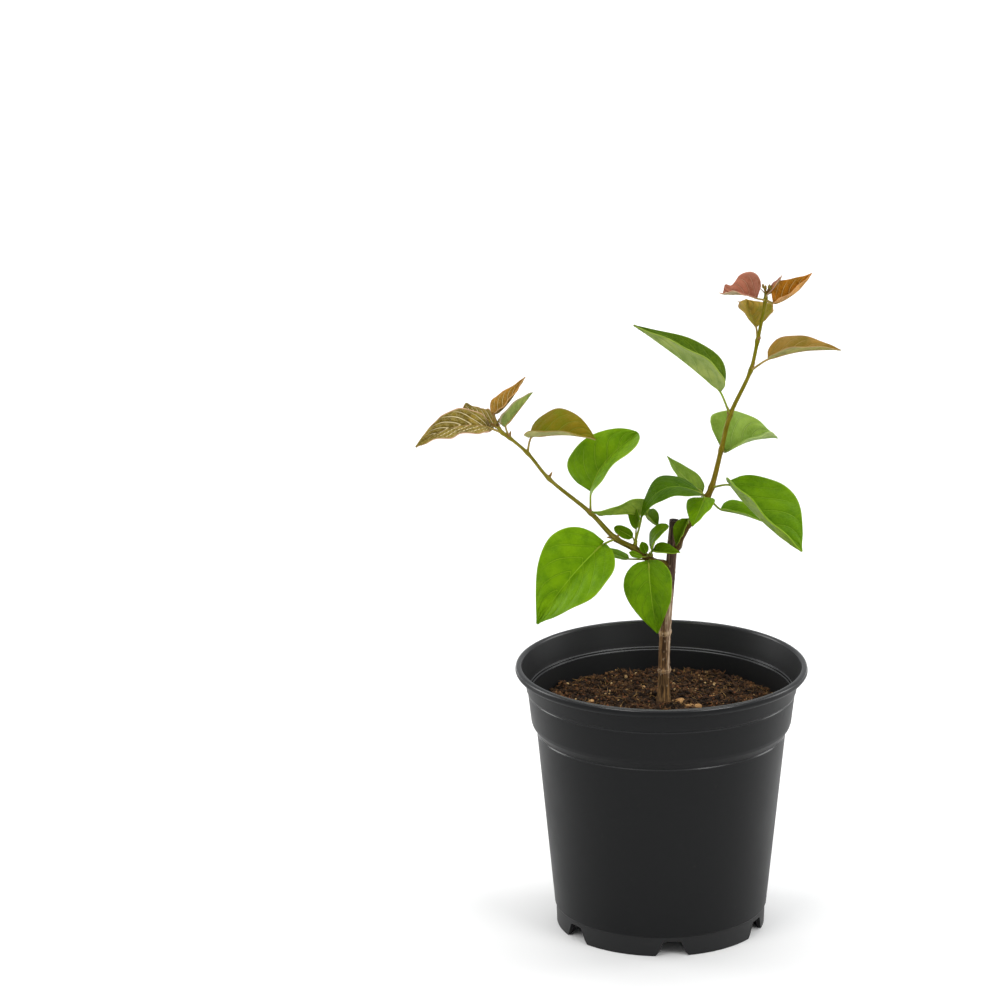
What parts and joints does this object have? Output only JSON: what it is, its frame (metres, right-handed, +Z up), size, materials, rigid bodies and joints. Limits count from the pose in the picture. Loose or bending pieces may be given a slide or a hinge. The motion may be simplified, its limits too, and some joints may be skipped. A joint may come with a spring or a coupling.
{
  "type": "potted bougainvillea",
  "caption": "Young bougainvillea, a woody cutting with two leafy shoots, in a round black nursery pot filled with soil, to stand on a floor or table.",
  "frame": {"origin": "centre of the pot's flat underside, on the floor it stands on", "axes": "+Z up along the pot's axis, -Y towards the side with the large front leaves, +X towards the taller shoot"},
  "size_m": [0.185, 0.13, 0.2991],
  "materials": {
    "pot_plastic": "satin black moulded plastic",
    "potting_soil": "loose peat and bark fibre",
    "bark": "ridged grey-brown bark",
    "green_wood": "smooth olive-brown young stem",
    "leaf_green": "soft satin green leaf",
    "leaf_young": "bronze young leaf"
  },
  "bodies": {
    "root": {"pot": "pot_plastic", "potting_soil": "potting_soil", "trunk": "bark", "left_shoot": "green_wood", "right_shoot": "green_wood", "left_leaf_1": "leaf_green", "left_leaf_2": "leaf_green", "left_leaf_3": "leaf_green", "left_leaf_4": "leaf_green", "left_leaf_5": "leaf_green", "left_leaf_6": "leaf_green", "knob_leaf": "leaf_green", "right_leaf_1": "leaf_green", "right_leaf_2": "leaf_green", "right_leaf_3": "leaf_green", "right_leaf_4": "leaf_green", "left_spur_foliage_low": "leaf_green", "left_spur_foliage_high": "leaf_green", "right_spur_foliage": "leaf_green", "right_leaf_5": "leaf_young", "right_leaf_6": "leaf_young", "left_tip_foliage": "leaf_young", "right_tip_foliage": "leaf_young"}
  },
  "joints": []
}
